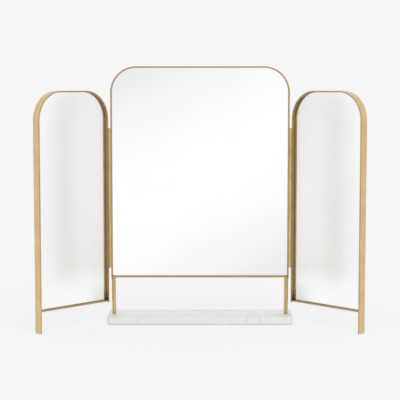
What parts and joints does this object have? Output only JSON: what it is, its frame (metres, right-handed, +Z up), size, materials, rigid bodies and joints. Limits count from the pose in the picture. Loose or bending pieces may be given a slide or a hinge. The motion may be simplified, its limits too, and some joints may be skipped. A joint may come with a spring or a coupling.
{
  "type": "table mirror",
  "caption": "Folding dressing-table mirror: arched centre mirror on posts over a stone base, with two arched wings on long hinges whose outer uprights are feet.",
  "frame": {"origin": "on the table, under the middle of the base and of the centre mirror", "axes": "+Z up, the mirrors face -Y, +X to the right as seen from the front"},
  "size_m": [0.7104, 0.2009, 0.5751],
  "materials": {
    "satin_brass": "brushed satin, lacquered",
    "hinge_brass": "rolled, bright",
    "mirror_glass": "silvered plate",
    "marble": "honed, faint grey veins",
    "felt": "pressed felt",
    "foam_tape": "foam",
    "backing_board": "black painted hardboard",
    "plated_steel": "zinc plated",
    "bolt_steel": "black oxide",
    "nylon": "moulded"
  },
  "bodies": {
    "stand": {"base_felt": "felt", "base_slab": "marble", "centre_backing_board": "backing_board", "centre_backing_lugs": "plated_steel", "centre_bottom_rail": "satin_brass", "centre_frame": "satin_brass", "centre_lug_screws": "plated_steel", "centre_mirror_glass": "mirror_glass", "centre_mounting_tape": "foam_tape", "left_fixed_hinge_leaf": "hinge_brass", "left_fixed_hinge_screws": "hinge_brass", "left_hinge_pin": "hinge_brass", "left_post": "satin_brass", "post_bolts": "bolt_steel", "post_washers": "bolt_steel", "right_fixed_hinge_leaf": "hinge_brass", "right_fixed_hinge_screws": "hinge_brass", "right_hinge_pin": "hinge_brass", "right_post": "satin_brass"},
    "left_wing": {"left_wing_backing_board": "backing_board", "left_wing_backing_lugs": "plated_steel", "left_wing_bottom_rail": "satin_brass", "left_wing_foot_glide": "nylon", "left_wing_frame": "satin_brass", "left_wing_hinge_leaf": "hinge_brass", "left_wing_hinge_screws": "hinge_brass", "left_wing_lug_screws": "plated_steel", "left_wing_mirror_glass": "mirror_glass", "left_wing_mounting_tape": "foam_tape"},
    "right_wing": {"right_wing_backing_board": "backing_board", "right_wing_backing_lugs": "plated_steel", "right_wing_bottom_rail": "satin_brass", "right_wing_foot_glide": "nylon", "right_wing_frame": "satin_brass", "right_wing_hinge_leaf": "hinge_brass", "right_wing_hinge_screws": "hinge_brass", "right_wing_lug_screws": "plated_steel", "right_wing_mirror_glass": "mirror_glass", "right_wing_mounting_tape": "foam_tape"}
  },
  "joints": [
    {"name": "left_wing_fold", "type": "hinge", "parent": "stand", "child": "left_wing", "pos_m": [-0.2022, -0.0105, 0.124], "axis": [0, 0, 1], "range_deg": [-45.9, 122.1]},
    {"name": "right_wing_fold", "type": "hinge", "parent": "stand", "child": "right_wing", "pos_m": [0.2022, -0.0105, 0.124], "axis": [0, 0, -1], "range_deg": [-45.9, 122.1]}
  ]
}
